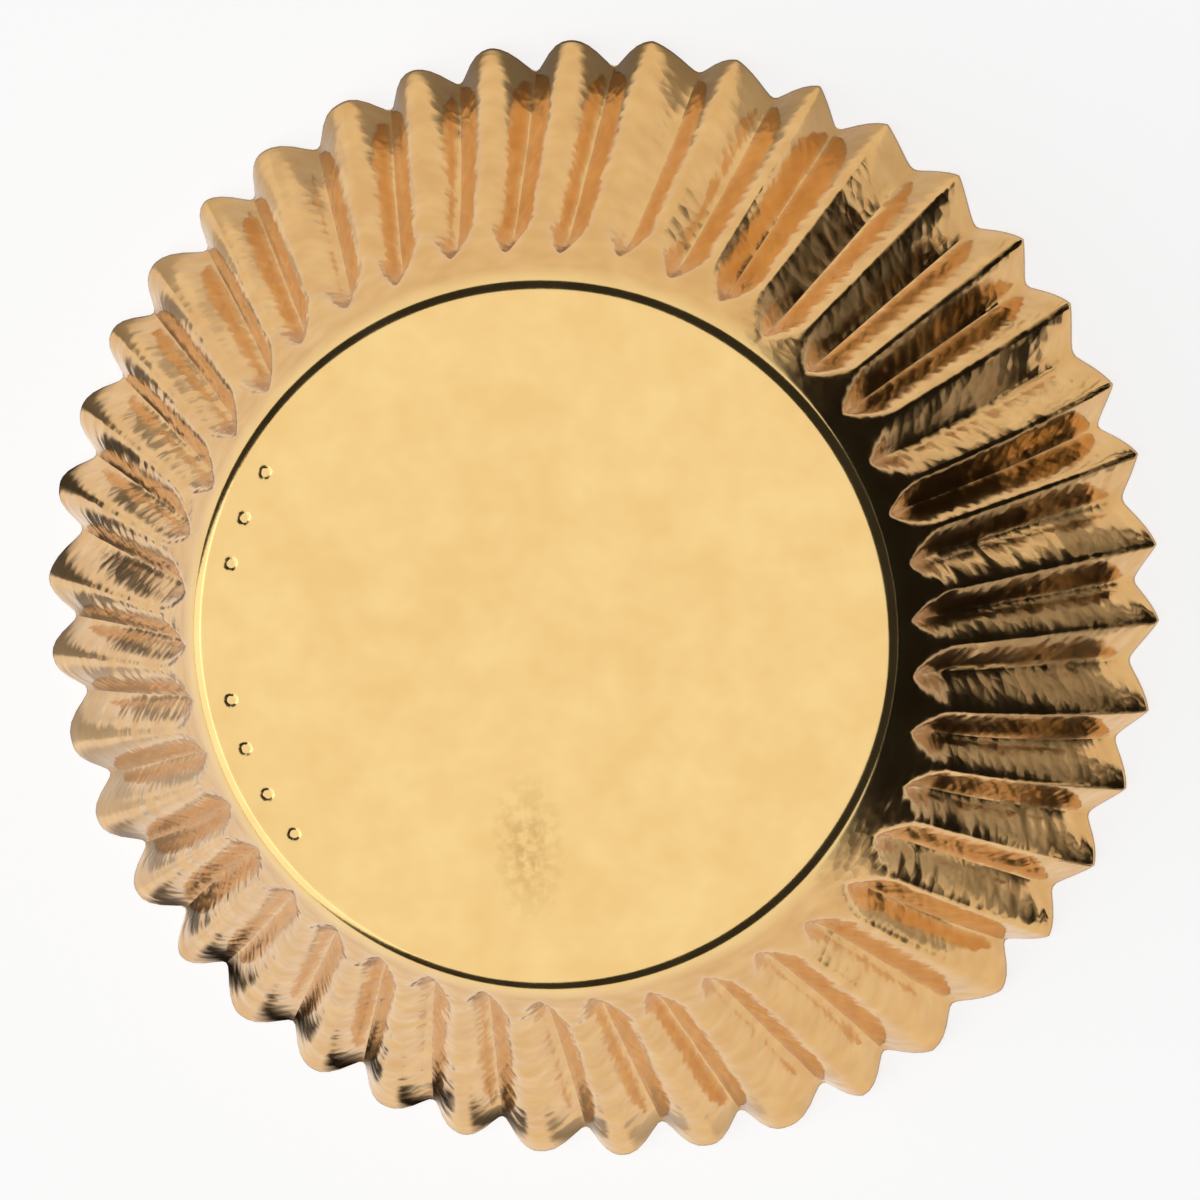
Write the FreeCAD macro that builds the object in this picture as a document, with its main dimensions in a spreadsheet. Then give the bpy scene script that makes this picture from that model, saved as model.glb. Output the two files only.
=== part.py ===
import FreeCAD, Part
import Sketcher
import math
import os

# A pleated cupcake liner: one flat disc of gold foil laminated to paper, pressed
# over a round fluted former. The disc's middle stays flat as the base. A rounded
# edge and a short plain band form the crown, which closes the upper ends of the
# flutes. Below it the flutes run down the wall side by side, deeper and wider
# towards the rim, with a narrow ridge between each two. The liner stands on its
# rim with its base on top. The sheet's outside skin and inside skin are two
# fluted forms, and the liner is what lies between them.
# Both forms are drawn with the base plane at Z = 0 and the wall below it, and
# the finished piece is lifted so that its rim stands on Z = 0.

SHEET_NAME = "sizes"
NODE_NAME = "foil_liner"

DRIVING_SIZES = (
    ("base_diameter", 50.0, "where base and wall would meet in a sharp corner"),
    ("blank_diameter", 114.0, "flat disc that the liner is pressed from"),
    ("wall_slope", 60.0, "degrees from the table up to the ridges"),
    ("pleat_count", 42, "pleats in the whole circle"),
    ("pleat_depth", 2.85, "ridge to sharp groove at the rim, square to the wall"),
    ("ridge_width", 0.5, "width left on each ridge at the rim"),
    ("groove_floor", 0.4, "width of the flat floor in each groove"),
    ("plain_band", 2.0, "unpleated wall below the base's corner, down the slope"),
    ("flute_end_slope", 84.0, "degrees from the table up to the flutes' closed ends"),
    ("base_fold_radius", 0.9, "outside radius where the base turns down"),
    ("sheet_thickness", 0.12, "foil and paper together"),
    ("open_overrun", 2.0, "how far the inside form runs on past the rim"),
)

# Formulas on the driving sizes, in the spreadsheet's own names.
CELLS = "<<%s>>." % SHEET_NAME
SLOPE = "(%swall_slope * 1 deg)" % CELLS
BAND = CELLS + "plain_band"
BASE_RADIUS = "(%sbase_diameter / 2)" % CELLS
SLANT = "((%sblank_diameter - %sbase_diameter) / 2)" % (CELLS, CELLS)
FOLD_SETBACK = "(%sbase_fold_radius * tan(%s / 2))" % (CELLS, SLOPE)
TIP_RADIUS = "(%s + %s * cos(%s))" % (BASE_RADIUS, SLANT, SLOPE)
APEX_SLANT = "(%s / cos(%s))" % (TIP_RADIUS, SLOPE)
GROOVE_SLOPE = "(%s + atan(%spleat_depth / %s))" % (SLOPE, CELLS, APEX_SLANT)
RIDGE_TURN = "(180 deg / %spleat_count - asin(%sridge_width / 2 / %s))" % (
    CELLS, CELLS, TIP_RADIUS)
FLUTE_HALF_WIDTH = "(%s * sin(%s))" % (TIP_RADIUS, RIDGE_TURN)
FLUTE_HEIGHT = "(%s * (cos(%s) * sin(%s) - tan(%s) * cos(%s)))" % (
    TIP_RADIUS, RIDGE_TURN, GROOVE_SLOPE, SLOPE, GROOVE_SLOPE)
FLUTE_SIDE = "atan(%s / %s)" % (FLUTE_HALF_WIDTH, FLUTE_HEIGHT)
END_SLOPE = "(%sflute_end_slope * 1 deg)" % CELLS
CROWN_RADIUS = "(%s + %s * cos(%s))" % (BASE_RADIUS, BAND, SLOPE)
CROWN_LEVEL = "(%s * sin(%s))" % (BAND, SLOPE)
CORNER_TURN = "((%s - %s) / 2)" % (END_SLOPE, SLOPE)
CORNER_IN = "(sin((%s + %s) / 2) / cos(%s))" % (SLOPE, END_SLOPE, CORNER_TURN)
CORNER_DOWN = "(cos((%s + %s) / 2) / cos(%s))" % (SLOPE, END_SLOPE, CORNER_TURN)
# How far the crown's steep end runs down: 1.3 times the way to the grooves' floors.
CROWN_ROOT = "(1.3 * %s * (1 - tan(%s) / tan(%s)) / (1 / tan(%s) - 1 / tan(%s)))" % (
    CROWN_RADIUS, SLOPE, GROOVE_SLOPE, GROOVE_SLOPE, END_SLOPE)


def make_sheet(doc):
    """Fill the spreadsheet with the driving sizes, one row each."""
    sheet = doc.addObject("Spreadsheet::Sheet", SHEET_NAME)
    for row, (alias, value, note) in enumerate(DRIVING_SIZES, start=1):
        sheet.set("A%d" % row, alias)
        sheet.set("B%d" % row, str(value))
        sheet.set("C%d" % row, note)
        sheet.setAlias("B%d" % row, alias)
    doc.recompute()
    return sheet


def origin_feature(body, role):
    return [item for item in body.Origin.OriginFeatures if item.Role == role][0]


def add_sketch(body, name, role):
    sketch = body.newObject("Sketcher::SketchObject", name)
    sketch.AttachmentSupport = [(origin_feature(body, role), "")]
    sketch.MapMode = "FlatFace"
    return sketch


def add_rule(sketch, kind, *places):
    sketch.addConstraint(Sketcher.Constraint(kind, *places))


def add_size(sketch, name, kind, places, first_value, formula):
    """Add a named dimension. The formula then replaces its first value."""
    index = sketch.addConstraint(Sketcher.Constraint(kind, *places, first_value))
    sketch.renameConstraint(index, name)
    sketch.setExpression("Constraints." + name, formula)


def add_turned(body, name, sketch):
    turned = body.newObject("PartDesign::Revolution", name)
    turned.Profile = sketch
    turned.ReferenceAxis = (sketch, ["V_Axis"])
    turned.Angle = 360.0


def add_wall(body, sheet, inset, overrun):
    """Turn the wall below the crown, with the ridges' cone outside.

    inset is how far this skin lies inside the outside one, as a formula, and
    overrun is how far its wall runs on past the rim. The cut edge is square to
    the wall, as a blank's edge is square to its sheet.
    """
    start = FreeCAD.Vector(sheet.base_diameter * 0.52, -sheet.plain_band * 0.87, 0)
    tip = FreeCAD.Vector(sheet.blank_diameter * 0.36, -sheet.blank_diameter * 0.24, 0)
    apex = FreeCAD.Vector(0, -sheet.blank_diameter * 0.45, 0)
    middle = FreeCAD.Vector(0, start.y, 0)

    sketch = add_sketch(body, body.Name + "_wall_profile", "XZ_Plane")
    top, wall, edge, axis = range(4)
    sketch.addGeometry(Part.LineSegment(middle, start), False)
    sketch.addGeometry(Part.LineSegment(start, tip), False)
    sketch.addGeometry(Part.LineSegment(tip, apex), False)
    sketch.addGeometry(Part.LineSegment(apex, middle), False)
    for one, other in ((top, wall), (wall, edge), (edge, axis), (axis, top)):
        add_rule(sketch, "Coincident", one, 2, other, 1)
    add_rule(sketch, "PointOnObject", edge, 2, -2)
    add_rule(sketch, "PointOnObject", top, 1, -2)
    add_rule(sketch, "Horizontal", top)
    add_rule(sketch, "Perpendicular", wall, edge)

    corner_radius = "(%s - (%s) * tan(%s / 2))" % (BASE_RADIUS, inset, SLOPE)
    run = "(%s + %s)" % (SLANT, overrun)
    add_size(sketch, "start_radius", "DistanceX", (-1, 1, wall, 1), start.x,
             "%s - (%s) * %s" % (CROWN_RADIUS, inset, CORNER_IN))
    add_size(sketch, "start_level", "DistanceY", (-1, 1, wall, 1), start.y,
             "-%s - (%s) * %s" % (CROWN_LEVEL, inset, CORNER_DOWN))
    add_size(sketch, "tip_radius", "DistanceX", (-1, 1, wall, 2), tip.x,
             "%s + %s * cos(%s)" % (corner_radius, run, SLOPE))
    add_size(sketch, "tip_level", "DistanceY", (-1, 1, wall, 2), tip.y,
             "-(%s) - %s * sin(%s)" % (inset, run, SLOPE))
    add_turned(body, body.Name + "_wall", sketch)


def add_crown(body, sheet, inset):
    """Turn the flat base, its rounded edge, the plain band and the flutes' ends."""
    slope = math.radians(sheet.wall_slope)
    fold_radius = sheet.base_fold_radius
    flat = sheet.base_diameter / 2 - fold_radius * math.tan(slope / 2)
    low = FreeCAD.Vector(sheet.base_diameter * 0.52, -sheet.plain_band * 0.87, 0)
    root = FreeCAD.Vector(low.x * 1.02, low.y - 3 * sheet.plain_band, 0)
    middle = FreeCAD.Vector(0, root.y, 0)
    fold_circle = Part.Circle(
        FreeCAD.Vector(flat, -fold_radius, 0), FreeCAD.Vector(0, 0, 1), fold_radius)
    fold_arc = Part.ArcOfCircle(fold_circle, math.pi / 2 - slope, math.pi / 2)

    sketch = add_sketch(body, body.Name + "_crown_profile", "XZ_Plane")
    base, fold, band, end, under, axis = range(6)
    sketch.addGeometry(Part.LineSegment(FreeCAD.Vector(), fold_arc.EndPoint), False)
    sketch.addGeometry(fold_arc, False)
    sketch.addGeometry(Part.LineSegment(fold_arc.StartPoint, low), False)
    sketch.addGeometry(Part.LineSegment(low, root), False)
    sketch.addGeometry(Part.LineSegment(root, middle), False)
    sketch.addGeometry(Part.LineSegment(middle, FreeCAD.Vector()), False)
    add_rule(sketch, "Tangent", base, 2, fold, 2)
    add_rule(sketch, "Tangent", fold, 1, band, 1)
    for one, other in ((band, end), (end, under), (under, axis), (axis, base)):
        add_rule(sketch, "Coincident", one, 2, other, 1)
    add_rule(sketch, "PointOnObject", base, 1, -2)
    add_rule(sketch, "PointOnObject", under, 2, -2)
    add_rule(sketch, "Horizontal", base)
    add_rule(sketch, "Horizontal", under)

    add_size(sketch, "fold_radius", "Radius", (fold,), fold_radius,
             "%sbase_fold_radius - (%s)" % (CELLS, inset))
    add_size(sketch, "flat_radius", "DistanceX", (-1, 1, base, 2), flat,
             "%s - %s" % (BASE_RADIUS, FOLD_SETBACK))
    add_size(sketch, "base_level", "DistanceY", (-1, 1, base, 2), 0.0, "-(%s)" % inset)
    add_size(sketch, "band_level", "DistanceY", (-1, 1, band, 2), low.y,
             "-%s - (%s) * %s" % (CROWN_LEVEL, inset, CORNER_DOWN))
    add_size(sketch, "root_radius", "DistanceX", (-1, 1, end, 2), root.x,
             "%s - (%s) * %s + (%s - (%s) * %s) / tan(%s)" % (
                 CROWN_RADIUS, inset, CORNER_IN, CROWN_ROOT, inset, CORNER_DOWN, END_SLOPE))
    add_size(sketch, "root_level", "DistanceY", (-1, 1, end, 2), root.y,
             "-%s - %s" % (CROWN_LEVEL, CROWN_ROOT))
    add_turned(body, body.Name + "_crown", sketch)


def add_flutes(body, sheet, inset):
    """Cut one flat-floored V flute down the wall and repeat it round the axis.

    The flute is drawn at the point of the ridges' cone, square to the line in
    which its flanks would meet without the floor, with X away from the wall.
    That line passes through the point, so each flank cuts the cone in a
    straight ridge, and the flute widens and deepens evenly down to the rim.
    """
    rim_radius = sheet.blank_diameter * 0.36
    widening = math.pi * rim_radius / sheet.pleat_count / sheet.pleat_depth
    near = sheet.groove_floor / 2 / widening
    far = 2 * sheet.pleat_depth
    near_left = FreeCAD.Vector(near, near * widening, 0)
    near_right = FreeCAD.Vector(near, -near * widening, 0)
    far_left = FreeCAD.Vector(far, far * widening, 0)
    far_right = FreeCAD.Vector(far, -far * widening, 0)

    sketch = add_sketch(body, body.Name + "_flute_profile", "XY_Plane")
    sketch.AttachmentOffset = FreeCAD.Placement(
        FreeCAD.Vector(0, 0, 40), FreeCAD.Rotation(FreeCAD.Vector(0, 1, 0), -25))
    sketch.setExpression(".AttachmentOffset.Rotation.Angle", "%s - 90 deg" % GROOVE_SLOPE)
    sketch.setExpression(".AttachmentOffset.Base.z", "%s * tan(%s)" % (BASE_RADIUS, SLOPE))
    floor, left, right, mouth = range(4)
    sketch.addGeometry(Part.LineSegment(near_left, near_right), False)
    sketch.addGeometry(Part.LineSegment(near_left, far_left), False)
    sketch.addGeometry(Part.LineSegment(near_right, far_right), False)
    sketch.addGeometry(Part.LineSegment(far_left, far_right), False)
    add_rule(sketch, "Coincident", floor, 1, left, 1)
    add_rule(sketch, "Coincident", floor, 2, right, 1)
    add_rule(sketch, "Coincident", left, 2, mouth, 1)
    add_rule(sketch, "Coincident", right, 2, mouth, 2)
    add_rule(sketch, "Symmetric", left, 1, right, 1, -1)
    add_rule(sketch, "Symmetric", left, 2, right, 2, -1)
    add_size(sketch, "floor_height", "DistanceX", (-1, 1, left, 1), near,
             "%sgroove_floor / 2 / tan(%s) - (%s)" % (CELLS, FLUTE_SIDE, inset))
    add_size(sketch, "floor_half_width", "DistanceY", (-1, 1, left, 1), near_left.y,
             "%sgroove_floor / 2 + (%s) * (1 / cos(%s) - tan(%s))" % (
                 CELLS, inset, FLUTE_SIDE, FLUTE_SIDE))
    add_size(sketch, "mouth_height", "DistanceX", (-1, 1, left, 2), far,
             "2 * %spleat_depth" % CELLS)
    add_size(sketch, "mouth_half_width", "DistanceY", (-1, 1, left, 2), far_left.y,
             "2 * %spleat_depth * tan(%s) + (%s) / cos(%s)" % (
                 CELLS, FLUTE_SIDE, inset, FLUTE_SIDE))

    flute = body.newObject("PartDesign::Pocket", body.Name + "_flute")
    flute.Profile = sketch
    flute.Type = "Length"
    flute.setExpression("Length", "%s + %spleat_depth + 2 * %sopen_overrun" % (
        APEX_SLANT, CELLS, CELLS))
    body.Document.recompute()
    flutes = body.newObject("PartDesign::PolarPattern", body.Name + "_flutes")
    flutes.Originals = [flute]
    flutes.Axis = (origin_feature(body, "Z_Axis"), [""])
    flutes.Angle = 360.0
    flutes.setExpression("Occurrences", CELLS + "pleat_count")
    body.Tip = flutes


def make_form(doc, sheet, name, inset, overrun):
    """One skin of the folded sheet, as a solid form with that skin outside."""
    body = doc.addObject("PartDesign::Body", name)
    add_wall(body, sheet, inset, overrun)
    doc.recompute()
    add_flutes(body, sheet, inset)
    doc.recompute()
    add_crown(body, sheet, inset)
    doc.recompute()
    return body


def make_liner(doc, sheet):
    """The sheet itself: the outside form less the inside form."""
    liner = doc.addObject("Part::Cut", NODE_NAME)
    liner.Base = make_form(doc, sheet, "outside_form", "0", "0")
    liner.Tool = make_form(
        doc, sheet, "inside_form", CELLS + "sheet_thickness", CELLS + "open_overrun")
    liner.Label = NODE_NAME
    doc.recompute()
    lowest = liner.Shape.optimalBoundingBox().ZMin
    liner.Placement = FreeCAD.Placement(FreeCAD.Vector(0, 0, -lowest), FreeCAD.Rotation())
    return liner


def check(doc, liner):
    """Stop if any feature failed or the liner isn't one sound solid."""
    for item in doc.Objects:
        for state in item.State:
            if state in ("Invalid", "Error"):
                raise RuntimeError("%s is %s" % (item.Name, state))
    shape = liner.Shape
    if shape.isNull() or not shape.isValid() or len(shape.Solids) != 1:
        raise RuntimeError("%s is not one valid solid" % liner.Label)


def main():
    doc = FreeCAD.newDocument("cupcake_liner")
    sheet = make_sheet(doc)
    liner = make_liner(doc, sheet)
    check(doc, liner)
    os.makedirs("parts", exist_ok=True)
    liner.Shape.exportStep(os.path.join("parts", liner.Label + ".step"))
    box = liner.Shape.optimalBoundingBox()
    print("size %.3f x %.3f x %.3f mm" % (box.XLength, box.YLength, box.ZLength))
    print("lowest point %.4f mm" % box.ZMin)
    print("volume %.1f mm3, faces %d" % (liner.Shape.Volume, len(liner.Shape.Faces)))


main()
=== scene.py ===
import math

import bpy
import numpy as np
from mathutils import Matrix, Vector


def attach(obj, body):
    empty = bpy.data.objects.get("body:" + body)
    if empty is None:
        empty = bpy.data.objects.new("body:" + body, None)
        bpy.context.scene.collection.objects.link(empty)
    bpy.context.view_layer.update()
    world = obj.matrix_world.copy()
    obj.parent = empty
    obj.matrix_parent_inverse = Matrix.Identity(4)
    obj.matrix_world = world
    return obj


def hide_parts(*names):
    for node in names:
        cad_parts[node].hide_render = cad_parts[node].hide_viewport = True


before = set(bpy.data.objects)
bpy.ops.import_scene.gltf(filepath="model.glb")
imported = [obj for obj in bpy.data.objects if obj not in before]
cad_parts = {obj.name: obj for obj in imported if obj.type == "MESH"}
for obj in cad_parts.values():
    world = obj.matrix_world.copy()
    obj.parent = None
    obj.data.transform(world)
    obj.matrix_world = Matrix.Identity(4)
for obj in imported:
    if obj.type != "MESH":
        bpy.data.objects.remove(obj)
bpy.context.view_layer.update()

MM = 0.001
TAU = 2 * math.pi

# The liner's sizes in millimetres, as the construction has them, but for a wider fold round the base.
PLEATS = 42
BASE_RADIUS = 25.0
FOLD_RADIUS = 1.25
HEIGHT = 29.10
SLANT = 32.0
SLOPE = math.radians(60.0)
PLAIN_BAND = 2.0
SHEET = 0.12

# How the pleats depart from even ones. Depths are in millimetres at the rim, square to the wall, and the
# spreads of pitch, lean and bend are parts of a pitch.
SEED = 7
DEEPEST = 2.75
MEAN_DEPTH = 2.45
SHALLOWEST = 2.05
DEPTH_SPREAD = 0.17
PITCH_SPREAD = 0.06
LEAN_SPREAD = 0.035
BEND_SPREAD = 0.035
CREST_DROP_SPREAD = 0.12
START_SPREAD = 0.7
# Where the plain band is wider: the middle and width in degrees, and how much lower the grooves begin.
WIDE_BANDS = ((95.0, 38.0, 2.0), (315.0, 24.0, 3.2))
# Over the first lengths of the wall the grooves open, and the fold's edge stays round and plain.
OPENING = 6.0
PLAIN_EDGE = 0.6
EDGE_BLEND = 1.2
# How round the grooves, crests and domed knobs are.
GROOVE_ROUND = 0.14
CREST_ROUND = 0.20
DOME_POWER = 1.5
DOME_OPENING = 0.7
FAR_FLANK_DOME = 0.35
CRISP_SIDE = math.radians(14.0)

# The mesh: columns to half a pleat, rows down the wall and round the fold, and outer rows to an inner one.
HALF_COLUMNS = 7
WALL_ROWS = 100
FOLD_ROWS = 6
INNER_STEP = 3

rng = np.random.default_rng(SEED)


def smooth_noise(shape, cells, generator):
    """A smooth random field over a grid, from -1 to 1, that closes on itself round the first axis."""
    rows, columns = cells
    grid = generator.uniform(-1.0, 1.0, (rows, columns + 1))
    grid_rows = np.linspace(0, rows, shape[0], endpoint=False)
    grid_columns = np.linspace(0, columns, shape[1])
    low_r = np.floor(grid_rows).astype(int)
    low_c = np.minimum(np.floor(grid_columns).astype(int), columns - 1)
    part_r = grid_rows - low_r
    part_c = grid_columns - low_c
    part_r = (part_r * part_r * (3 - 2 * part_r))[:, None]
    part_c = (part_c * part_c * (3 - 2 * part_c))[None, :]
    next_r = (low_r + 1) % rows
    low_r = low_r % rows
    a = grid[np.ix_(low_r, low_c)]
    b = grid[np.ix_(next_r, low_c)]
    c = grid[np.ix_(low_r, low_c + 1)]
    d = grid[np.ix_(next_r, low_c + 1)]
    return (a * (1 - part_r) + b * part_r) * (1 - part_c) + (c * (1 - part_r) + d * part_r) * part_c


def soft_max(a, b, rounding):
    """The larger of two values, with the change from one to the other rounded off."""
    return 0.5 * (a + b + np.sqrt((a - b) ** 2 + rounding ** 2))


def bump(turn, middle, width):
    """One smooth hump round the liner, 1 at its middle, with the middle and width in degrees."""
    off = (turn - math.radians(middle) + math.pi) % TAU - math.pi
    return np.exp(-(off / math.radians(width)) ** 2)


# The grooves: where each lies round the liner, how deep it is at the rim and where it starts.
pitch = TAU / PLEATS
order = np.arange(PLEATS)
groove_even = order * pitch
groove_rim = (order + rng.normal(0.0, PITCH_SPREAD, PLEATS)) * pitch
depth_rim = np.clip(MEAN_DEPTH + rng.normal(0.0, DEPTH_SPREAD, PLEATS), SHALLOWEST, DEEPEST)
start = PLAIN_BAND + np.abs(rng.normal(0.0, START_SPREAD, PLEATS))
for middle, width, lower in WIDE_BANDS:
    start = start + lower * bump(groove_even, middle, width)
crest_part = 0.5 + rng.normal(0.0, LEAN_SPREAD, PLEATS)
crest_drop = np.abs(rng.normal(0.0, CREST_DROP_SPREAD, PLEATS))
bend = rng.normal(0.0, BEND_SPREAD, PLEATS) * pitch
after_groove = np.roll(order, -1)

# The crests: crisp on the side where the foil was folded hard, domed elsewhere. Crest i follows groove i.
crest_angle = groove_even + 0.5 * pitch
away_from_crisp = np.clip(0.5 - 1.5 * (np.cos(crest_angle - CRISP_SIDE) - 0.45), 0.0, 1.0)
domed = away_from_crisp * rng.uniform(0.6, 1.0, PLEATS)

rim_radius = BASE_RADIUS + SLANT * math.cos(SLOPE)


def groove_angle(share):
    """Each groove's angle at a share of the way down the wall."""
    return groove_even + (groove_rim - groove_even) * share + bend * np.sin(math.pi * share)


# Columns: HALF_COLUMNS from each groove to the crest and as many on to the next groove, closer together
# at both.
half_steps = np.arange(HALF_COLUMNS) / HALF_COLUMNS
eased = half_steps - 0.4 * np.sin(TAU * half_steps) / TAU
COLUMNS = PLEATS * 2 * HALF_COLUMNS
column_pleat = np.repeat(order, 2 * HALF_COLUMNS)
rising = np.tile(np.repeat([True, False], HALF_COLUMNS), PLEATS)
column_ease = np.tile(np.concatenate([eased, eased]), PLEATS)
column_crest = crest_part[column_pleat]
column_part = np.where(rising, column_crest * column_ease, column_crest + (1 - column_crest) * column_ease)
column_climb = np.where(rising, column_ease, 1 - column_ease)
column_groove = np.where(rising, column_pleat, after_groove[column_pleat])


def column_angles(share):
    """Each column's angle at a share of the way down the wall."""
    grooves = groove_angle(share)
    following = np.roll(grooves, -1).copy()
    following[-1] += TAU
    low = grooves[column_pleat]
    gap = (following - grooves)[column_pleat]
    return low + gap * column_part


def groove_depth(slant):
    """How far the sheet lies inside the crests' cone, at each column, at a distance down the wall."""
    share = slant / SLANT
    radius = BASE_RADIUS + slant * math.cos(SLOPE)
    reach = np.clip((slant - start) / OPENING, -0.3, 1.0)
    opened = np.where(reach > 0, 1 - (1 - reach) ** 2, reach)
    full = depth_rim[column_groove] * radius / rim_radius
    round_part = np.clip(domed[column_pleat] + np.where(rising, 0.0, FAR_FLANK_DOME), 0.0, 1.0)
    bottom = GROOVE_ROUND * (0.4 + 0.6 * share) * (1 + 0.4 * domed[column_pleat])
    crisp_climb = (np.sqrt(column_climb ** 2 + bottom ** 2) - bottom) / (np.hypot(1.0, bottom) - bottom)
    dome_power = DOME_POWER + DOME_OPENING * share ** 2
    domed_climb = 1 - np.clip(1 - crisp_climb, 0.0, 1.0) ** dome_power
    climb = crisp_climb * (1 - round_part) + domed_climb * round_part
    depth = soft_max(full * (opened[column_groove] - climb), 0.0, CREST_ROUND)
    clear_of_edge = min(1.0, max(0.0, (slant - PLAIN_EDGE) / EDGE_BLEND))
    return (depth + crest_drop[column_pleat] * column_climb * share) * clear_of_edge


def wall_point(slant, angles, depth):
    """Points on the wall, a depth inside the crests' cone."""
    radius = BASE_RADIUS + slant * math.cos(SLOPE) - depth * math.sin(SLOPE)
    height = HEIGHT - slant * math.sin(SLOPE) - depth * math.cos(SLOPE)
    return np.stack([radius * np.cos(angles), radius * np.sin(angles), height], axis=1)


wall_start = FOLD_RADIUS * math.tan(0.5 * SLOPE)
row_share = np.linspace(0.0, 1.0, WALL_ROWS + 1)
row_slants = wall_start + (SLANT - wall_start) * row_share ** 1.05

# Crumples across the wall: rungs across the flanks, some much stronger than others, and longer ripples. They
# are stronger at one side, on the flanks that rise towards the crest, and weaker at another.
RUNG_DEPTH = 0.055
RIPPLE_DEPTH = 0.05
CRUMPLE_FROM = 1.5
CRUMPLE_BLEND = 4.0
ROUGH_SIDE, ROUGH_WIDTH, ROUGHER = 168.0, 32.0, 1.2
PLAIN_SIDE, PLAIN_WIDTH, PLAINER = 95.0, 40.0, 0.5
RAGGED_WAVE = 0.18
RAGGED_SHORT = 0.12

rungs = smooth_noise((COLUMNS, WALL_ROWS + 1), (PLEATS * 4, 38), rng)
ripple = smooth_noise((COLUMNS, WALL_ROWS + 1), (PLEATS * 2, 16), rng)
edge_wave = smooth_noise((COLUMNS, 2), (PLEATS * 2, 1), rng)[:, 0]
flank_crumple = rng.uniform(0.15, 1.3, PLEATS * 2) ** 1.3
column_flank = np.repeat(np.arange(PLEATS * 2), HALF_COLUMNS)
flank_middle = np.tile(np.sin(math.pi * half_steps), PLEATS * 2)
column_crumple = flank_crumple[column_flank] * (0.2 + 0.8 * flank_middle)
column_turn = (column_pleat + 0.5) * pitch
rough_side = bump(column_turn, ROUGH_SIDE, ROUGH_WIDTH)
column_crumple = column_crumple * (1.0 + ROUGHER * np.where(rising, 1.0, 0.2) * rough_side)
column_crumple = column_crumple * (1.0 - PLAINER * bump(column_turn, PLAIN_SIDE, PLAIN_WIDTH))

# The outside skin: rings round the fold, then rings down the wall.
rows = []
flat_radius = BASE_RADIUS - wall_start
for step in range(FOLD_ROWS):
    turn = SLOPE * step / FOLD_ROWS
    radius = flat_radius + FOLD_RADIUS * math.sin(turn)
    height = HEIGHT - FOLD_RADIUS + FOLD_RADIUS * math.cos(turn)
    angles = column_angles(0.0)
    ring = [radius * np.cos(angles), radius * np.sin(angles), np.full(COLUMNS, height)]
    rows.append(np.stack(ring, axis=1))
for row, slant in enumerate(row_slants):
    angles = column_angles(slant / SLANT)
    depth = groove_depth(slant)
    fade = min(1.0, max(0.0, (slant - CRUMPLE_FROM) / CRUMPLE_BLEND))
    wrinkle = RUNG_DEPTH * column_crumple * (rungs[:, row] + 0.6) + RIPPLE_DEPTH * (ripple[:, row] + 0.8)
    depth = depth + fade * wrinkle
    ragged = slant + (RAGGED_WAVE * edge_wave - RAGGED_SHORT) * (slant / SLANT) ** 3
    rows.append(wall_point(ragged, angles, depth))
skin = np.array(rows)


def grid_normals(points):
    """Unit normals of a closed ring of columns, by differences along and across it."""
    across = np.roll(points, -1, axis=1) - np.roll(points, 1, axis=1)
    along = np.gradient(points, axis=0)
    normal = np.cross(along, across)
    return normal / np.linalg.norm(normal, axis=2, keepdims=True)


normals = grid_normals(skin)
if normals[-1, 0, 2] < 0 or normals[0, 0, 2] < 0:
    normals = -normals

# The base: dimples beside the fold at the pleats' pitch, and faint dents.
DIMPLE_RADIUS = 22.9
DIMPLE_DEPTH = 0.30
DIMPLE_WIDTH = 0.24
DIMPLE_TURNS = [147.5, 156.5, 165.0, 189.5, 198.5, 207.5, 216.0]
DENT_COUNT = 26
DENT_PLACES = (-20, 20)
DENT_WIDTHS = (2.0, 5.0)
DENT_DEPTHS = (-0.05, 0.05)
HIGHEST_DENT = 0.06
dimples = [(DIMPLE_RADIUS * math.cos(math.radians(t)), DIMPLE_RADIUS * math.sin(math.radians(t)))
           for t in DIMPLE_TURNS]
dents = [(rng.uniform(*DENT_PLACES), rng.uniform(*DENT_PLACES), rng.uniform(*DENT_WIDTHS),
          rng.uniform(*DENT_DEPTHS)) for _ in range(DENT_COUNT)]


def base_height(x, y):
    """The base's height at a place, with its dimples and dents."""
    drop = np.zeros_like(x)
    reach = np.clip((flat_radius - np.hypot(x, y)) / 2.0, 0.0, 1.0)
    for cx, cy in dimples:
        drop -= DIMPLE_DEPTH * np.exp(-((x - cx) ** 2 + (y - cy) ** 2) / (2 * DIMPLE_WIDTH ** 2))
    for cx, cy, width, deep in dents:
        drop += reach * deep * np.exp(-((x - cx) ** 2 + (y - cy) ** 2) / (2 * width ** 2))
    return HEIGHT + np.minimum(drop, HIGHEST_DENT) - HIGHEST_DENT * reach


# The base's rings, on its outer and inner side. The outer ones lie close together where the dimples are.
RING_RADII = [24.0, 23.7, 23.5, 23.3, 23.1, 22.9, 22.7, 22.5, 22.3, 22.1, 21.8, 21.4, 20.8, 20.0, 19.0, 18.0,
              17.0, 16.0, 15.0, 14.0, 13.0, 12.0, 11.0, 10.0, 9.0, 8.0, 7.0, 6.0, 5.0, 4.0, 3.0, 2.0, 1.0]
INNER_RADII = [23.4, 22.0, 20.0, 18.0, 16.0, 13.0, 10.0, 7.0, 4.0, 2.0]
FINE_OUTSIDE = 21.5
CLOSEST_POINTS = 0.28
FEWEST_POINTS = 30

vertices = []
faces = []
fold_angles = column_angles(0.0)


def add_points(points):
    """Keeps new vertices, and gives their numbers."""
    first = len(vertices)
    vertices.extend(map(tuple, points))
    return list(range(first, len(vertices)))


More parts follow.
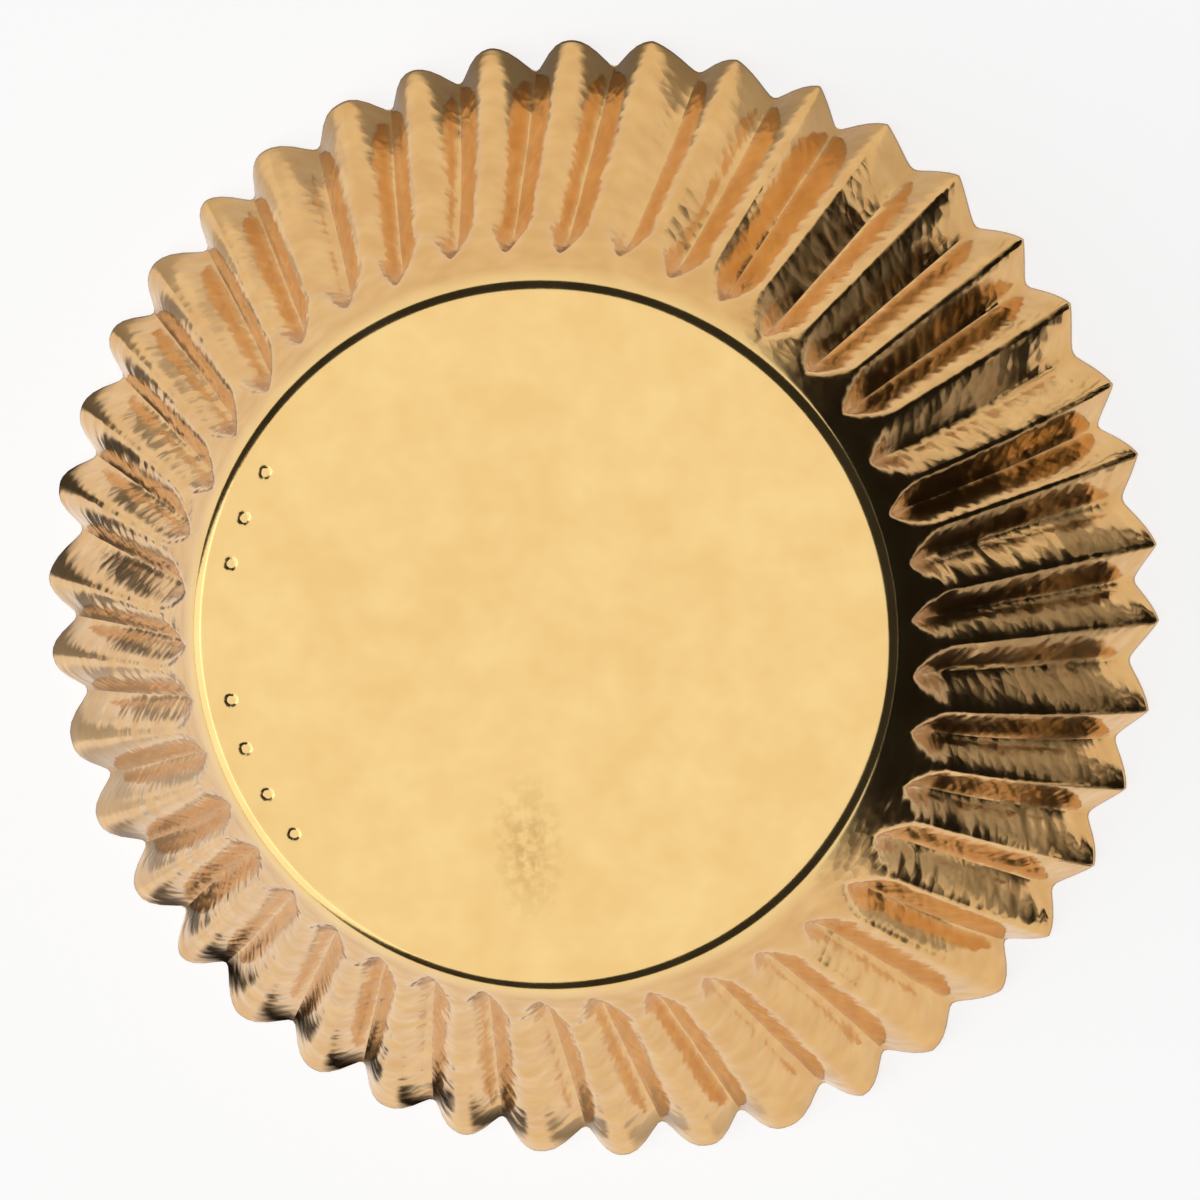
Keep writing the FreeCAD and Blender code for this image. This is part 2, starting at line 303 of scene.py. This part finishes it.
def join_rings(outer, inner, up):
    """Faces between two rings, where the inner one has as many points as the outer, or half as many."""
    count = len(outer)
    if len(inner) == count:
        for i in range(count):
            j = (i + 1) % count
            face = [outer[i], outer[j], inner[j], inner[i]]
            faces.append(face if up else face[::-1])
        return
    half = len(inner)
    for i in range(half):
        a, b, c = outer[2 * i], outer[(2 * i + 1) % count], outer[(2 * i + 2) % count]
        p, q = inner[i], inner[(i + 1) % half]
        for face in ([a, b, p], [b, q, p], [b, c, q]):
            faces.append(face if up else face[::-1])


def add_base(first_ring, lift, up, radii):
    """The round base, from its edge to its middle, with fewer points round the smaller rings."""
    ring = first_ring
    angles = fold_angles
    for radius in radii:
        spare = TAU * radius / len(angles)
        joined = angles
        fine = up and radius > FINE_OUTSIDE
        halvable = len(angles) % 2 == 0 and len(angles) > FEWEST_POINTS
        if spare < CLOSEST_POINTS and not fine and halvable:
            joined = angles[::2]
        x = radius * np.cos(joined)
        y = radius * np.sin(joined)
        points = np.stack([x, y, base_height(x, y) + lift], axis=1)
        new = add_points(points)
        join_rings(ring, new, up)
        ring, angles = new, joined
    middle = add_points(np.array([[0.0, 0.0, base_height(np.zeros(1), np.zeros(1))[0] + lift]]))[0]
    count = len(ring)
    for i in range(count):
        face = [ring[i], ring[(i + 1) % count], middle]
        faces.append(face if up else face[::-1])


outer_rings = [add_points(row) for row in skin]
for a, b in zip(outer_rings[:-1], outer_rings[1:]):
    join_rings(b, a, True)
add_base(outer_rings[0], 0.0, True, RING_RADII)

# The inside skin lies a sheet's thickness within the outside one, with fewer rows.
last_row = len(skin) - 1
inner_rows = list(range(0, FOLD_ROWS, 2)) + list(range(FOLD_ROWS, last_row, INNER_STEP)) + [last_row]
inner_skin = skin - SHEET * normals
inner_rings = [add_points(inner_skin[row]) for row in inner_rows]
for a, b in zip(inner_rings[:-1], inner_rings[1:]):
    join_rings(b, a, False)
add_base(inner_rings[0], -SHEET, False, INNER_RADII)
join_rings(inner_rings[-1], outer_rings[-1], True)

points = np.array(vertices)
points[:, 2] = np.maximum(points[:, 2], 0.0)
mesh = bpy.data.meshes.new("pleated_foil_cup")
mesh.from_pydata([tuple(p) for p in points * MM], [], faces)
mesh.validate()
for polygon in mesh.polygons:
    polygon.use_smooth = True
# The grooves' bottoms are sharp folds.
groove_columns = range(0, COLUMNS, 2 * HALF_COLUMNS)
folds = {(outer_rings[r][c], outer_rings[r + 1][c])
         for r in range(FOLD_ROWS + 6, len(outer_rings) - 1) for c in groove_columns}
for edge in mesh.edges:
    pair = (min(edge.vertices), max(edge.vertices))
    if pair in folds:
        edge.use_edge_sharp = True
mesh.update()
cup = bpy.data.objects.new("pleated_foil_cup", mesh)
bpy.context.scene.collection.objects.link(cup)
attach(cup, "root")
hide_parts("foil_liner")


def node(tree, kind, **inputs):
    """A new node with values set on its inputs."""
    made = tree.nodes.new(kind)
    for name, value in inputs.items():
        made.inputs[name.replace("_", " ")].default_value = value
    return made


# The foil: darker and lighter colours of the base and the wall, and the rubbed patch's place and half size.
BASE_COLOURS = ((0.90, 0.60, 0.24, 1), (0.96, 0.68, 0.29, 1))
# The wall's colours are painted shade: darker and more orange than the base's, for the dimmer light the
# slanted wall reflects.
WALL_COLOURS = ((0.72, 0.41, 0.145, 1), (0.80, 0.485, 0.185, 1))
RUBBED_COLOUR = (0.60, 0.36, 0.13, 1)
BASE_HEIGHTS = (0.0288, 0.0270)
ROUGHNESS = (0.10, 0.22)
SMUDGE_PLACE = (-0.0018, -0.0150)
SMUDGE_HALF = (0.0030, 0.0058)


def foil_material():
    """Gold lacquered foil: bright metal, rolled and crumpled, with painted shade on the wall, which is darker
    and more orange than the base.
    """
    material = bpy.data.materials.new("gold_foil_crumpled")
    material.use_nodes = True
    tree = material.node_tree
    links = tree.links
    shader = tree.nodes["Principled BSDF"]
    shader.inputs["Metallic"].default_value = 1.0
    place = tree.nodes.new("ShaderNodeTexCoord")

    split = tree.nodes.new("ShaderNodeSeparateXYZ")
    links.new(place.outputs["Object"], split.inputs[0])
    on_wall = tree.nodes.new("ShaderNodeMapRange")
    on_wall.inputs["From Min"].default_value = BASE_HEIGHTS[0]
    on_wall.inputs["From Max"].default_value = BASE_HEIGHTS[1]
    links.new(split.outputs["Z"], on_wall.inputs["Value"])

    blotch = node(tree, "ShaderNodeTexNoise", Scale=260.0, Detail=2.0, Roughness=0.6)
    links.new(place.outputs["Object"], blotch.inputs["Vector"])
    base_ramp = tree.nodes.new("ShaderNodeValToRGB")
    base_ramp.color_ramp.elements[0].position = 0.30
    base_ramp.color_ramp.elements[0].color = BASE_COLOURS[0]
    base_ramp.color_ramp.elements[1].position = 0.72
    base_ramp.color_ramp.elements[1].color = BASE_COLOURS[1]
    links.new(blotch.outputs["Fac"], base_ramp.inputs["Fac"])

    patch = node(tree, "ShaderNodeTexNoise", Scale=420.0, Detail=1.0, Roughness=0.55)
    links.new(place.outputs["Object"], patch.inputs["Vector"])
    wall_ramp = tree.nodes.new("ShaderNodeValToRGB")
    wall_ramp.color_ramp.elements[0].position = 0.32
    wall_ramp.color_ramp.elements[0].color = WALL_COLOURS[0]
    wall_ramp.color_ramp.elements[1].position = 0.70
    wall_ramp.color_ramp.elements[1].color = WALL_COLOURS[1]
    links.new(patch.outputs["Fac"], wall_ramp.inputs["Fac"])

    # Painted shade: the wall takes the darker, more orange colours and the base takes the lighter ones.
    colour = tree.nodes.new("ShaderNodeMix")
    colour.data_type = "RGBA"
    links.new(on_wall.outputs["Result"], colour.inputs["Factor"])
    links.new(base_ramp.outputs["Color"], colour.inputs[6])
    links.new(wall_ramp.outputs["Color"], colour.inputs[7])

    fine = node(tree, "ShaderNodeTexNoise", Scale=1300.0, Detail=2.0, Roughness=0.6)
    links.new(place.outputs["Object"], fine.inputs["Vector"])

    # A brownish rubbed patch on the base.
    from_patch = tree.nodes.new("ShaderNodeVectorMath")
    from_patch.operation = "MULTIPLY_ADD"
    from_patch.inputs[1].default_value = (1.0 / SMUDGE_HALF[0], 1.0 / SMUDGE_HALF[1], 0.0)
    from_patch.inputs[2].default_value = (-SMUDGE_PLACE[0] / SMUDGE_HALF[0],
                                          -SMUDGE_PLACE[1] / SMUDGE_HALF[1], 0.0)
    links.new(place.outputs["Object"], from_patch.inputs[0])
    patch_reach = tree.nodes.new("ShaderNodeVectorMath")
    patch_reach.operation = "LENGTH"
    links.new(from_patch.outputs["Vector"], patch_reach.inputs[0])
    patch_fade = tree.nodes.new("ShaderNodeMapRange")
    patch_fade.inputs["From Min"].default_value = 1.0
    patch_fade.inputs["From Max"].default_value = 0.2
    links.new(patch_reach.outputs["Value"], patch_fade.inputs["Value"])
    grain_cut = tree.nodes.new("ShaderNodeMapRange")
    grain_cut.inputs["From Min"].default_value = 0.38
    grain_cut.inputs["From Max"].default_value = 0.62
    grain_cut.inputs["To Max"].default_value = 0.65
    links.new(fine.outputs["Fac"], grain_cut.inputs["Value"])
    smudge = tree.nodes.new("ShaderNodeMath")
    smudge.operation = "MULTIPLY"
    links.new(patch_fade.outputs["Result"], smudge.inputs[0])
    links.new(grain_cut.outputs["Result"], smudge.inputs[1])
    rubbed = tree.nodes.new("ShaderNodeMix")
    rubbed.data_type = "RGBA"
    rubbed.inputs[7].default_value = RUBBED_COLOUR
    links.new(smudge.outputs[0], rubbed.inputs["Factor"])
    links.new(colour.outputs[2], rubbed.inputs[6])
    links.new(rubbed.outputs[2], shader.inputs["Base Color"])

    rough = tree.nodes.new("ShaderNodeMapRange")
    rough.inputs["To Min"].default_value = ROUGHNESS[0]
    rough.inputs["To Max"].default_value = ROUGHNESS[1]
    links.new(blotch.outputs["Fac"], rough.inputs["Value"])
    links.new(rough.outputs["Result"], shader.inputs["Roughness"])

    crease = tree.nodes.new("ShaderNodeTexVoronoi")
    crease.feature = "F1"
    crease.inputs["Scale"].default_value = 900.0
    links.new(place.outputs["Object"], crease.inputs["Vector"])
    crease_bump = tree.nodes.new("ShaderNodeBump")
    crease_bump.inputs["Distance"].default_value = 0.00008
    links.new(crease.outputs["Distance"], crease_bump.inputs["Height"])
    strength = tree.nodes.new("ShaderNodeMapRange")
    strength.inputs["To Min"].default_value = 0.03
    strength.inputs["To Max"].default_value = 0.45
    links.new(on_wall.outputs["Result"], strength.inputs["Value"])
    links.new(strength.outputs["Result"], crease_bump.inputs["Strength"])
    fine_bump = tree.nodes.new("ShaderNodeBump")
    fine_bump.inputs["Distance"].default_value = 0.00002
    fine_bump.inputs["Strength"].default_value = 0.25
    links.new(fine.outputs["Fac"], fine_bump.inputs["Height"])
    links.new(crease_bump.outputs["Normal"], fine_bump.inputs["Normal"])
    links.new(fine_bump.outputs["Normal"], shader.inputs["Normal"])
    return material


mesh.materials.append(foil_material())

# Stage: a lit white table, a pale backdrop, and painted shadow beside the liner for its reflections: a dark
# card and slats that only the foil sees.
HALF_FLOOR = 3.0
FLOOR_GLOW = 0.80
FLOOR_ALBEDO = 0.35
BLACK = 0.01


def stage_material(name, albedo, glow):
    """A dull grey with a glow of its own."""
    material = bpy.data.materials.new(name)
    material.use_nodes = True
    shader = material.node_tree.nodes["Principled BSDF"]
    shader.inputs["Base Color"].default_value = (albedo, albedo, albedo, 1)
    shader.inputs["Roughness"].default_value = 0.9
    shader.inputs["Specular IOR Level"].default_value = 0.0
    shader.inputs["Emission Color"].default_value = (1, 1, 1, 1)
    shader.inputs["Emission Strength"].default_value = glow
    return material


def stage_object(name, mesh_points, mesh_faces, material):
    """A piece of the stage, made from its points and faces."""
    made_mesh = bpy.data.meshes.new(name)
    made_mesh.from_pydata(mesh_points, [], mesh_faces)
    made_mesh.materials.append(material)
    made = bpy.data.objects.new(name, made_mesh)
    bpy.context.scene.collection.objects.link(made)
    return made


def seen_only_in_the_foil(made):
    made.visible_camera = False
    made.visible_diffuse = False
    made.visible_shadow = False


stage_object("floor", [(-HALF_FLOOR, -HALF_FLOOR, 0), (HALF_FLOOR, -HALF_FLOOR, 0),
                       (HALF_FLOOR, HALF_FLOOR, 0), (-HALF_FLOOR, HALF_FLOOR, 0)],
             [(0, 1, 2, 3)], stage_material("pale_floor", FLOOR_ALBEDO, FLOOR_GLOW))

# A painted shadow of the liner on the table: a dark card round it, seen only in the foil. It has shadow
# wedges on one side, a contact shade against the rim and two rows of shadow spokes at the pleats' pitch.
# Radii and half widths are in millimetres.
SHADE_INNER = 36.0
SHADE_NEAR = 52.0
SHADE_OUTER = 1200.0
SHADE_SPOKES = PLEATS * 12
SHADE_LIFT = 0.3
WEDGES = ((math.radians(8.0), 62.0), (math.radians(-9.0), 48.0))
WEDGE_NEAR = 49.0
WEDGE_SPREAD = 0.35
WEDGE_FADE = 14.0
CONTACT_OUT = 43.5
CONTACT_SIDE, CONTACT_WIDTH, CONTACT_DARK = 92.0, 34.0, 0.8
SPOKE_SLOPE = 1.6
RIM_FADE = 1.5
LEFT_SIDE, LEFT_WIDTH, LEFT_DARK, LEFT_OUT = 166.0, 30.0, 0.95, 49.0
LEFT_PHASE, LEFT_HALF = 1.9, 4.4
LOW_SIDE, LOW_WIDTH, LOW_DARK, LOW_OUT = 235.0, 36.0, 1.3, 44.0
LOW_PHASE, LOW_HALF = 3.4, 2.6


def shade(radius, turn):
    """How dark the painted shadow is, from 0 to 1, at a place on the table."""
    wedge = np.zeros_like(radius)
    for middle, half_width in WEDGES:
        ahead = radius * np.cos(turn - middle)
        aside = np.abs(radius * np.sin(turn - middle))
        reach = np.clip((half_width + WEDGE_SPREAD * (ahead - 50) - aside) / WEDGE_FADE, 0, 1)
        wedge = np.maximum(wedge, np.clip((ahead - WEDGE_NEAR) / 2.0, 0, 1) * reach)
    lee = CONTACT_DARK * bump(turn, CONTACT_SIDE, CONTACT_WIDTH)
    contact = np.clip((CONTACT_OUT - radius) / RIM_FADE, 0, 1) * lee
    before = np.degrees((0.5 * pitch - turn) % pitch)
    left_spoke = np.clip((LEFT_HALF - np.abs(before - LEFT_PHASE) * SPOKE_SLOPE) / RIM_FADE, 0, 1)
    left_near = np.clip((LEFT_OUT - radius) / RIM_FADE, 0, 1)
    left = left_spoke * bump(turn, LEFT_SIDE, LEFT_WIDTH) * left_near * LEFT_DARK
    after = np.degrees((turn - 0.5 * pitch) % pitch)
    low_spoke = np.clip((LOW_HALF - np.abs(after - LOW_PHASE) * SPOKE_SLOPE) / RIM_FADE, 0, 1)
    low_near = np.clip((LOW_OUT - radius) / RIM_FADE, 0, 1)
    low = low_spoke * np.minimum(1.0, LOW_DARK * bump(turn, LOW_SIDE, LOW_WIDTH)) * low_near
    return np.maximum.reduce([wedge, contact, left, low])


shade_radii = np.concatenate([np.linspace(SHADE_INNER, SHADE_NEAR, 41),
                              SHADE_NEAR * (SHADE_OUTER / SHADE_NEAR) ** (np.arange(1, 31) / 30)])
SHADE_RINGS = len(shade_radii) - 1
shade_turns = np.linspace(0, TAU, SHADE_SPOKES, endpoint=False)
grid_radius, grid_turn = np.meshgrid(shade_radii, shade_turns, indexing="ij")
# The card's material: black painted shadow where its darkness is high, and clear elsewhere.
shade_material = bpy.data.materials.new("painted_shadow_card")
shade_material.use_nodes = True
shade_tree = shade_material.node_tree
shade_shader = shade_tree.nodes["Principled BSDF"]
shade_shader.inputs["Base Color"].default_value = (BLACK, BLACK, BLACK, 1)
shade_shader.inputs["Specular IOR Level"].default_value = 0.0
shade_clear = shade_tree.nodes.new("ShaderNodeBsdfTransparent")
shade_mix = shade_tree.nodes.new("ShaderNodeMixShader")
shade_read = shade_tree.nodes.new("ShaderNodeAttribute")
shade_read.attribute_name = "darkness"
shade_tree.links.new(shade_read.outputs["Fac"], shade_mix.inputs["Fac"])
shade_tree.links.new(shade_clear.outputs[0], shade_mix.inputs[1])
shade_tree.links.new(shade_shader.outputs[0], shade_mix.inputs[2])
shade_tree.links.new(shade_mix.outputs[0], shade_tree.nodes["Material Output"].inputs["Surface"])
card = stage_object(
    "painted_shadow_card",
    [(r * math.cos(t) * MM, r * math.sin(t) * MM, SHADE_LIFT * MM) for r in shade_radii for t in shade_turns],
    [(i * SHADE_SPOKES + j, (i + 1) * SHADE_SPOKES + j, (i + 1) * SHADE_SPOKES + (j + 1) % SHADE_SPOKES,
      i * SHADE_SPOKES + (j + 1) % SHADE_SPOKES) for i in range(SHADE_RINGS) for j in range(SHADE_SPOKES)],
    shade_material)
darkness = card.data.attributes.new("darkness", "FLOAT", "POINT")
darkness.data.foreach_set("value", shade(grid_radius, grid_turn).astype(np.float32).ravel())
seen_only_in_the_foil(card)

# Painted shadow beside the liner: low dark slats on the table, seen only in the foil. Rays that meet them
# broadside see dark, and rays along them see the table.
SLAT_START = 41.9
SLAT_PITCH = 1.5
SLAT_TALL = 0.85
SLAT_FOOT = 0.0001
SLAT_TURN = math.radians(35.0)
SLAT_LONG = 22.0
SLANTED_FROM = math.radians(16.0)
SLANTED_TO = math.radians(42.0)
ARC_FROM = math.radians(-36.0)
ARC_TO = math.radians(18.0)
ARC_PITCH = 1.0
ARC_TALL = 0.62
slat_points = []
slat_faces = []


def add_slat(places, heights):
    """One upright strip on the table, along its places."""
    first = len(slat_points)
    for (x, y), tall in zip(places, heights):
        slat_points.append((x * MM, y * MM, SLAT_FOOT))
        slat_points.append((x * MM, y * MM, tall * MM))
    for i in range(len(places) - 1):
        a = first + 2 * i
        slat_faces.append((a, a + 2, a + 3, a + 1))


slat_count = int((SLANTED_TO - SLANTED_FROM) * SLAT_START / SLAT_PITCH)
for k in range(slat_count):
    turn = SLANTED_FROM + (SLANTED_TO - SLANTED_FROM) * k / (slat_count - 1)
    heading = turn + SLAT_TURN
    steps = np.linspace(0.0, SLAT_LONG, 12)
    places = [(SLAT_START * math.cos(turn) + d * math.cos(heading),
               SLAT_START * math.sin(turn) + d * math.sin(heading)) for d in steps]
    add_slat(places, [SLAT_TALL * SLAT_PITCH * math.hypot(*q) / SLAT_START for q in places])
for k in range(int((WEDGE_NEAR + 1.0 - SLAT_START) / ARC_PITCH)):
    radius = SLAT_START + k * ARC_PITCH
    turns = np.linspace(ARC_FROM, ARC_TO, 90)
    places = [(radius * math.cos(t), radius * math.sin(t)) for t in turns]
    add_slat(places, [ARC_TALL * ARC_PITCH] * len(turns))
# The slats are painted shadow: they are black, and only the foil sees them.
slats = stage_object("painted_shadow_slats", slat_points, slat_faces, stage_material("painted_shadow_black", BLACK, 0.0))
seen_only_in_the_foil(slats)

# A pale backdrop all round, for the views from the side. The foil doesn't see it.
BACKDROP_RADIUS = 2.9
BACKDROP_TALL = 2.6
BACKDROP_SIDES = 96
BACKDROP_GLOW = 0.9
backdrop_turns = np.linspace(0, TAU, BACKDROP_SIDES, endpoint=False)
backdrop = stage_object(
    "backdrop",
    [(BACKDROP_RADIUS * math.cos(t), BACKDROP_RADIUS * math.sin(t), z)
     for z in (0.0, BACKDROP_TALL) for t in backdrop_turns],
    [(i, (i + 1) % BACKDROP_SIDES, BACKDROP_SIDES + (i + 1) % BACKDROP_SIDES, BACKDROP_SIDES + i)
     for i in range(BACKDROP_SIDES)],
    stage_material("pale_backdrop", 0.0, BACKDROP_GLOW))
backdrop.visible_diffuse = False
backdrop.visible_glossy = False
backdrop.visible_shadow = False

WORLD_STRENGTH = 0.03
world = bpy.data.worlds.new("studio")
bpy.context.scene.world = world
world.use_nodes = True
world.node_tree.nodes["Background"].inputs["Color"].default_value = (1, 1, 1, 1)
world.node_tree.nodes["Background"].inputs["Strength"].default_value = WORLD_STRENGTH


def soft_light(name, azimuth, tilt, distance, size, radiance):
    """A square soft light that shines at the liner, given by its brightness as it is seen in a mirror."""
    data = bpy.data.lights.new(name, "AREA")
    data.shape = "SQUARE"
    data.size = size
    data.energy = radiance * math.pi * size * size
    made = bpy.data.objects.new(name, data)
    turn = math.radians(azimuth)
    lean = math.radians(tilt)
    towards = Vector((math.sin(lean) * math.cos(turn), math.sin(lean) * math.sin(turn), math.cos(lean)))
    made.location = towards * distance
    made.rotation_euler = towards.to_track_quat("Z", "Y").to_euler()
    made.visible_camera = False
    bpy.context.scene.collection.objects.link(made)
    return made


soft_light("overhead", azimuth=210.0, tilt=10.0, distance=1.6, size=1.7, radiance=0.95)
soft_light("side", azimuth=200.0, tilt=60.0, distance=1.0, size=1.0, radiance=1.2)

# The camera, at the photograph's viewing angle. Pixels are those of the 1200 by 1200 photograph.
IMAGE_WIDTH = 1200.0
RIM_WIDTH_PIXELS = 1128.0
CAMERA_AZIMUTH = 33.0
CAMERA_TILT = 10.0
CAMERA_DISTANCE = 0.95
CAMERA_ROLL = -2.75
CAMERA_TARGET = (0.0, 0.0, 0.0014)
SENSOR = 36.0

frame_width = 2 * rim_radius * MM * IMAGE_WIDTH / RIM_WIDTH_PIXELS
roll = math.radians(CAMERA_ROLL)
azimuth = math.radians(CAMERA_AZIMUTH) + roll
tilt = math.radians(CAMERA_TILT)
back = Vector((math.sin(tilt) * math.cos(azimuth), math.sin(tilt) * math.sin(azimuth), math.cos(tilt)))
image_up = Vector((-math.sin(roll), math.cos(roll), 0.0))
up = (image_up - image_up.dot(back) * back).normalized()
right = up.cross(back)
target = Vector(CAMERA_TARGET)
camera_data = bpy.data.cameras.new("camera")
camera_data.sensor_width = SENSOR
camera_data.lens = SENSOR * CAMERA_DISTANCE / frame_width
camera_data.clip_start = 0.01
camera_data.clip_end = 20.0
camera = bpy.data.objects.new("camera", camera_data)
turned = Matrix((right, up, back)).transposed().to_4x4()
turned.translation = target + back * CAMERA_DISTANCE
camera.matrix_world = turned
bpy.context.scene.collection.objects.link(camera)
bpy.context.scene.camera = camera

bpy.context.scene.view_settings.view_transform = "Standard"
bpy.context.scene.view_settings.look = "None"

bpy.context.view_layer.update()
